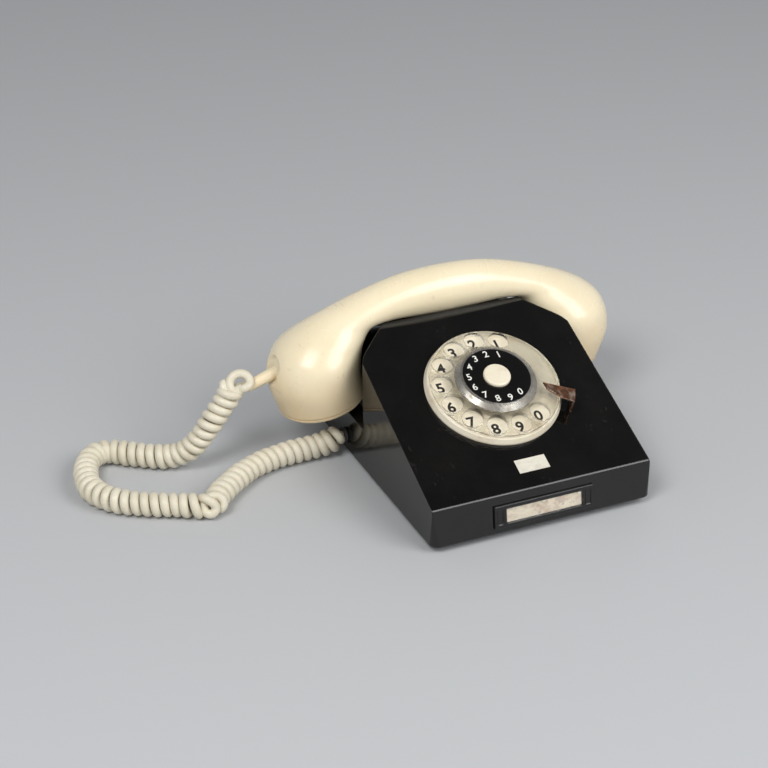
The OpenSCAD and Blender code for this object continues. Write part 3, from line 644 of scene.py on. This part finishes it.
def digits(name, radius, size, height, weight, slot, look, body):
    """The ten dial numbers as one piece: each number upright at its own angle, a thin layer of
    ink thick."""
    whole = bmesh.new()
    for k in range(10):
        curve = bpy.data.curves.new(f"{name}_{k}", "FONT")
        curve.body = str((k + 1) % 10)
        curve.size, curve.offset, curve.extrude = size, weight, INK
        curve.align_x = "CENTER"
        curve.align_y = "CENTER"
        curve.resolution_u = 6
        holder = bpy.data.objects.new("number", curve)
        bpy.context.scene.collection.objects.link(holder)
        bpy.context.view_layer.update()
        mesh = bpy.data.meshes.new_from_object(holder)
        angle = radians(FIRST_HOLE + HOLE_STEP * k)
        mesh.transform(on_deck(radius * cos(angle), radius * sin(angle), height))
        whole.from_mesh(mesh)
        bpy.data.objects.remove(holder)
        bpy.data.curves.remove(curve)
        bpy.data.meshes.remove(mesh)
    bmesh.ops.remove_doubles(whole, verts=whole.verts, dist=MERGE)
    bmesh.ops.recalc_face_normals(whole, faces=whole.faces)
    mesh = bpy.data.meshes.new(name)
    whole.to_mesh(mesh)
    whole.free()
    add_piece(name, mesh, slot, body, look)


def level(radius, flat, edge):
    """A height that is flat up to the wheel's bend and then slopes to its edge."""
    return flat + (edge - flat) * np.clip((radius - WHEEL_BEND) / (WHEEL_EDGE - WHEEL_BEND), 0, 1)


def sheet(grid, closed):
    """The points of a grid and its quads, the last column joined to the first when closed."""
    rows, columns = grid.shape[:2]
    i, j = np.meshgrid(np.arange(rows - 1), np.arange(columns if closed else columns - 1), indexing="ij")
    k = (j + 1) % columns
    quads = np.stack([i * columns + j, i * columns + k, (i + 1) * columns + k, (i + 1) * columns + j], -1)
    return grid.reshape(-1, 3), quads.reshape(-1, 4)


def polar(radius, angle, height):
    """Points from radius, angle and height, over whole grids at once."""
    return np.stack(np.broadcast_arrays(radius * np.cos(angle), radius * np.sin(angle), height), -1)


def hole_sector(angle, radii, half, columns):
    """One sector of the wheel with its finger hole: rings of points that run from the sector's
    border straight towards the hole, over its rounded rim, down its wall and back out below."""
    across = np.linspace(-half, half, columns)
    border_r = np.concatenate([radii, np.full(columns - 1, radii[-1]), radii[-2::-1],
                               np.full(columns - 2, radii[0])])
    border_a = np.concatenate([np.full(len(radii), -half), across[1:], np.full(len(radii) - 1, half),
                               across[-2:0:-1]]) + angle
    border = polar(border_r, border_a, 0.0)[:, :2]
    centre = HOLES_AT * np.array([cos(angle), sin(angle)])
    away = np.linalg.norm(border - centre, axis=1, keepdims=True)
    outward = (border - centre) / away
    rings = []
    for share in (1, 0.75, 0.5, 0.25, 0):
        rings.append((HOLE_R + RIM + share * (away - HOLE_R - RIM), 0, 1))
    for turn in np.linspace(0, pi / 2, 5)[1:]:
        rings.append((HOLE_R + RIM * (1 - sin(turn)) + 0 * away, -RIM * (1 - cos(turn)), 1))
    for turn in np.linspace(0, pi / 2, 5):
        rings.append((HOLE_R + RIM * (1 - cos(turn)) + 0 * away, RIM * (1 - sin(turn)), 0))
    for share in (0.25, 0.5, 0.75, 1):
        rings.append((HOLE_R + RIM + share * (away - HOLE_R - RIM), 0, 0))
    grid = []
    for reach, rise, is_top in rings:
        place = centre + outward * reach
        radius = np.linalg.norm(place, axis=1)
        levels = (WHEEL_TOP, WHEEL_TOP_EDGE) if is_top else (WHEEL_UNDER, WHEEL_UNDER_EDGE)
        height = rise + level(radius, *levels)
        grid.append(np.concatenate([place, height[:, None]], 1))
    return sheet(np.array(grid), True)


def make_wheel():
    """The clear finger wheel, in the deck's own frame: ten hole sectors, one plain sector, and the
    walls at its bore and its rounded edge, all joined into one closed surface."""
    radii = np.concatenate([
        np.linspace(WHEEL_BORE, WHEEL_BEND, 6), np.linspace(WHEEL_BEND, WHEEL_EDGE, 12)[1:]])
    half, columns = radians(HOLE_STEP) / 2, 13
    starts = radians(FIRST_HOLE) + radians(HOLE_STEP) * np.arange(10)
    parts = [hole_sector(a, radii, half, columns) for a in starts]
    plain = np.linspace(starts[-1] + half, starts[0] - half + 2 * pi, 49)
    for flat, edge in ((WHEEL_TOP, WHEEL_TOP_EDGE), (WHEEL_UNDER, WHEEL_UNDER_EDGE)):
        parts.append(sheet(polar(radii[:, None], plain[None], level(radii, flat, edge)[:, None]), False))
    round_ = np.concatenate([a + np.linspace(-half, half, columns)[:-1] for a in starts] + [plain[:-1]])
    for profile in (WHEEL_RIM, BORE_WALL):
        r, h = np.array(profile).T
        parts.append(sheet(polar(r[:, None], round_[None], h[:, None]), True))
    offsets = np.cumsum([0] + [len(points) for points, quads in parts[:-1]])
    points = np.concatenate([points for points, quads in parts]) * MM
    quads = np.concatenate([quads + shift for (points_, quads), shift in zip(parts, offsets)])
    frame_axes = np.array([(1, 0, 0), DECK_UP, DECK_AXIS])
    mesh = bpy.data.meshes.new("clear_finger_wheel")
    mesh.from_pydata((np.array(DIAL) + points @ frame_axes).tolist(), [], quads.tolist())
    solid = bmesh.new()
    solid.from_mesh(mesh)
    bmesh.ops.remove_doubles(solid, verts=solid.verts, dist=MERGE)
    bmesh.ops.recalc_face_normals(solid, faces=solid.faces)
    for face in solid.faces:
        face.smooth = True
    solid.to_mesh(mesh)
    solid.free()
    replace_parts(add_piece("clear_finger_wheel", mesh, "clear_wheel", "dial"), "finger_wheel")


def make_dial():
    """The numbers on the ring and on the disc, the finger wheel and the finger stop."""
    digits("ring_numbers", radius=30.6 * MM, size=9.4 * MM, height=3.02 * MM, weight=0.27 * MM,
           slot="cream_plastic", look="ink_black", body="base")
    digits("disc_numbers", radius=15.9 * MM, size=6.1 * MM, height=12.02 * MM, weight=0.06 * MM,
           slot="black_plastic", look="ink_white", body="dial")
    make_wheel()
    eased("finger_stop", "bent_finger_stop", 0.4 * MM)


# ---------------------------------------------------------------- stage
FLOOR_REACH = 6.0
AIM = (0, 0.02, 0.05)
HORIZON, OVERHEAD = (0.25, 0.62), (0.97, 0.06)  # how high a direction points, and how bright it is


def add_light(name, place, size, power):
    """A square soft box that shines on the telephone."""
    data = bpy.data.lights.new(name, "AREA")
    data.shape, data.size, data.energy = "SQUARE", size, power
    light = bpy.data.objects.new(name, data)
    bpy.context.scene.collection.objects.link(light)
    light.location = place
    light.rotation_euler = (Vector(AIM) - Vector(place)).to_track_quat("-Z", "Y").to_euler()


def make_stage():
    """A wide pale floor, two soft boxes, and a surround that is pale low down and dim overhead."""
    mesh = bpy.data.meshes.new("floor")
    corners = [(x * FLOOR_REACH, y * FLOOR_REACH, 0) for x, y in ((-1, -1), (1, -1), (1, 1), (-1, 1))]
    mesh.from_pydata(corners, [], [(0, 1, 2, 3)])
    floor = bpy.data.objects.new("floor", mesh)
    bpy.context.scene.collection.objects.link(floor)
    paper = Finish("floor_paper", (0.50, 0.51, 0.52), 0.5)
    paper.bump(paper.noise(400, 3), 0.05, 0.0005)
    mesh.materials.append(paper.material)
    add_light("key", (-0.9, -0.6, 1.3), 0.7, 14.5)
    add_light("fill", (0.66, -1.15, 1.12), 1.0, 18.5)
    world = bpy.data.worlds.new("surround")
    world.use_nodes = True
    tree = world.node_tree
    place = tree.nodes.new("ShaderNodeTexCoord").outputs["Object"]
    split = tree.nodes.new("ShaderNodeSeparateXYZ")
    fade = tree.nodes.new("ShaderNodeMapRange")
    for end, (upward, brightness) in (("Min", HORIZON), ("Max", OVERHEAD)):
        fade.inputs["From " + end].default_value = upward
        fade.inputs["To " + end].default_value = brightness
    tree.links.new(place, split.inputs["Vector"])
    tree.links.new(split.outputs["Z"], fade.inputs["Value"])
    tree.links.new(fade.outputs["Result"], tree.nodes["Background"].inputs["Strength"])
    tree.nodes["Background"].inputs["Color"].default_value = (0.95, 0.97, 1.0, 1)
    bpy.context.scene.world = world
    bpy.context.scene.view_settings.view_transform = "Standard"


set_camera()
make_cord()
finish_nodes()
make_handset()
make_dial()
eased("label_frame", "label_holder", 0.5 * MM)
make_stage()
